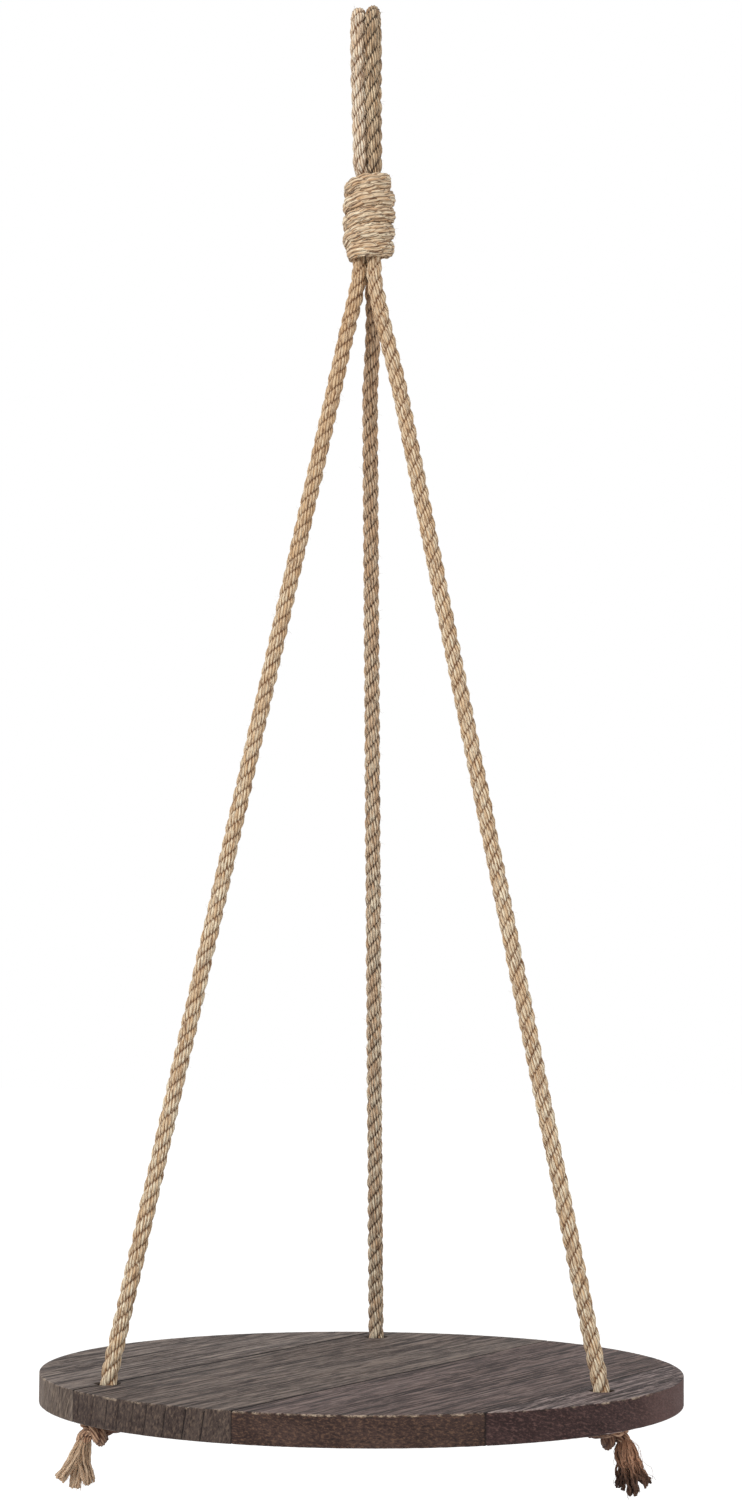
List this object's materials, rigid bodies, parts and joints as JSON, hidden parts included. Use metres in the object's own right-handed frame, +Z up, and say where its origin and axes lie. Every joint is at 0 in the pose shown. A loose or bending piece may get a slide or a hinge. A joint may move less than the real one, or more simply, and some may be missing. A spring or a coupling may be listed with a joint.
{
  "type": "hanging rope shelf",
  "caption": "Round wooden shelf board hung from a hook on three knotted jute rope legs gathered in a wound knot.",
  "frame": {"origin": "the hook's seat: the underside of the lower bight's crown, midway between the two bights", "axes": "+Z up, +X to the right as seen from the side with two legs in front, +Y to the back leg"},
  "size_m": [0.3, 0.3, 0.6974],
  "materials": {
    "jute_rope": "laid natural jute rope, dry and slightly hairy",
    "frayed_jute": "loose jute yarn",
    "stained_wood": "dark grey-brown stain on open-grained softwood, matt"
  },
  "bodies": {
    "root": {"left_bight_crown": "jute_rope", "right_bight_crown": "jute_rope"},
    "loop": {"left_front_strand": "jute_rope", "left_back_strand": "jute_rope", "right_front_strand": "jute_rope", "right_back_strand": "jute_rope"},
    "wrap": {"wrap": "jute_rope", "bundled_wrap_tail": "jute_rope", "bundled_back_leg": "jute_rope", "bundled_left_leg": "jute_rope", "bundled_right_leg": "jute_rope"},
    "shelf": {"left_leg": "jute_rope", "right_leg": "jute_rope", "back_leg": "jute_rope", "left_stopper_knot": "jute_rope", "right_stopper_knot": "jute_rope", "back_stopper_knot": "jute_rope", "left_frayed_tail": "frayed_jute", "right_frayed_tail": "frayed_jute", "back_frayed_tail": "frayed_jute", "board_plank_1": "stained_wood", "board_plank_2": "stained_wood", "board_plank_3": "stained_wood", "board_plank_4": "stained_wood"}
  },
  "joints": [
    {"name": "fore_aft_swing", "type": "hinge", "parent": "root", "child": "loop", "pos_m": [0, 0, -0.012], "axis": [1, 0, 0], "range_deg": [-12, 12], "deforming": ["left_front_strand", "left_back_strand", "right_front_strand", "right_back_strand"]},
    {"name": "loop_twist", "type": "hinge", "parent": "loop", "child": "wrap", "pos_m": [0, 0, -0.0715], "axis": [0, 0, 1], "range_deg": [-90, 90], "stiffness_Nm_per_rad": 0.005, "deforming": ["left_front_strand", "left_back_strand", "right_front_strand", "right_back_strand"]},
    {"name": "side_sway", "type": "hinge", "parent": "wrap", "child": "shelf", "pos_m": [0, 0, -0.12372], "axis": [0, 1, 0], "range_deg": [-10, 10]}
  ]
}
